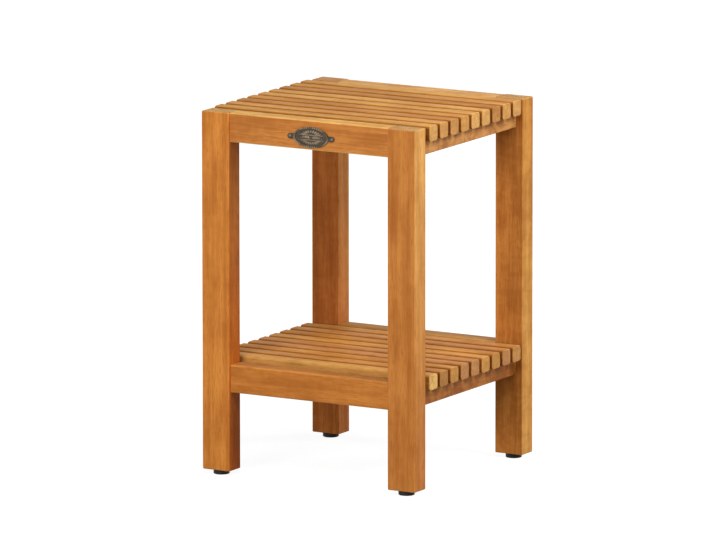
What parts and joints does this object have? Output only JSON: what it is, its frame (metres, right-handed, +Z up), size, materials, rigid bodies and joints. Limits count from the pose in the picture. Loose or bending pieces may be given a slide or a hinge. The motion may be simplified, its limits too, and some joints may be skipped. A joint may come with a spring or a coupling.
{
  "type": "bathroom side table",
  "caption": "Small square slatted teak side table for a bathroom, with straight legs, a slatted top, a slatted lower shelf, round glides and a plain oval badge.",
  "frame": {"origin": "on the floor, at the middle of the table's plan", "axes": "+Z up from the floor to the table top, +Y to the rear, +X to the right; the front rail with the badge faces -Y and the slats run along X"},
  "size_m": [0.304, 0.294, 0.454],
  "materials": {
    "leg_wood": "oiled teak, satin",
    "rail_wood": "oiled teak, satin",
    "bearer_wood": "oiled teak, satin",
    "slat_wood": "oiled teak, satin",
    "glide": "matt black",
    "screw_steel": "plain stainless",
    "badge_metal": "dark aged bronze",
    "pin_metal": "dark aged bronze"
  },
  "bodies": {
    "root": {"badge": "badge_metal", "badge_pins": "pin_metal", "foot_screws": "screw_steel", "front_left_foot": "glide", "front_left_leg": "leg_wood", "front_right_foot": "glide", "front_right_leg": "leg_wood", "rear_left_foot": "glide", "rear_left_leg": "leg_wood", "rear_right_foot": "glide", "rear_right_leg": "leg_wood", "shelf_front_rail": "rail_wood", "shelf_left_bearer": "bearer_wood", "shelf_rear_rail": "rail_wood", "shelf_right_bearer": "bearer_wood", "shelf_slat_1": "slat_wood", "shelf_slat_2": "slat_wood", "shelf_slat_3": "slat_wood", "shelf_slat_4": "slat_wood", "shelf_slat_5": "slat_wood", "shelf_slat_6": "slat_wood", "shelf_slat_7": "slat_wood", "shelf_slat_8": "slat_wood", "shelf_slat_9": "slat_wood", "shelf_slat_screws": "screw_steel", "top_front_rail": "rail_wood", "top_left_bearer": "bearer_wood", "top_rear_rail": "rail_wood", "top_right_bearer": "bearer_wood", "top_slat_1": "slat_wood", "top_slat_2": "slat_wood", "top_slat_3": "slat_wood", "top_slat_4": "slat_wood", "top_slat_5": "slat_wood", "top_slat_6": "slat_wood", "top_slat_7": "slat_wood", "top_slat_8": "slat_wood", "top_slat_9": "slat_wood", "top_slat_screws": "screw_steel"}
  },
  "joints": []
}
